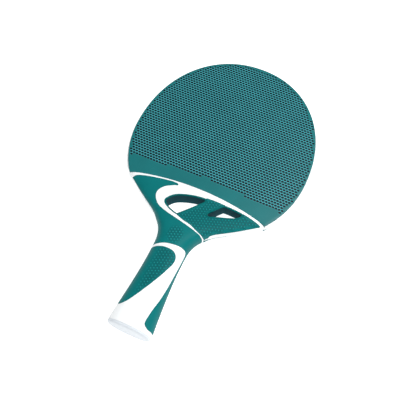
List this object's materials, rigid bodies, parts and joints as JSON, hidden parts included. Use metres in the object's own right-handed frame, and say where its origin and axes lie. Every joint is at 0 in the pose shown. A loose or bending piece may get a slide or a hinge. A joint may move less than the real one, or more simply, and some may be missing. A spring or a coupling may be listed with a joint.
{
  "type": "table tennis bat",
  "caption": "Rounded table tennis bat: rubber-faced composite blade with a white rim, an open throat and a flared handle with soft inlays, held in one hand to strike a ball.",
  "frame": {"origin": "centre of the overall box, on the middle plane of the blade", "axes": "+X across the blade to the right as seen from the front face, +Y along the bat from the butt towards the tip of the head, +Z out of the front face"},
  "size_m": [0.1554, 0.2654, 0.022],
  "materials": {
    "blade_composite": "satin",
    "white_shell": "satin",
    "sponge": "matte",
    "face_rubber": "satin",
    "soft_grip": "satin",
    "soft_liner": "matte",
    "cap_plastic": "satin"
  },
  "bodies": {
    "root": {"blade_core": "blade_composite", "edge_rim": "white_shell", "front_foam": "sponge", "back_foam": "sponge", "front_rubber": "face_rubber", "back_rubber": "face_rubber", "front_shell": "white_shell", "back_shell": "white_shell", "front_throat_panel": "soft_grip", "back_throat_panel": "soft_grip", "front_neck_grip": "soft_grip", "back_neck_grip": "soft_grip", "front_handle_pad": "soft_grip", "back_handle_pad": "soft_grip", "large_opening_liner": "soft_liner", "small_opening_liner": "soft_liner", "butt_cap": "cap_plastic"}
  },
  "joints": []
}
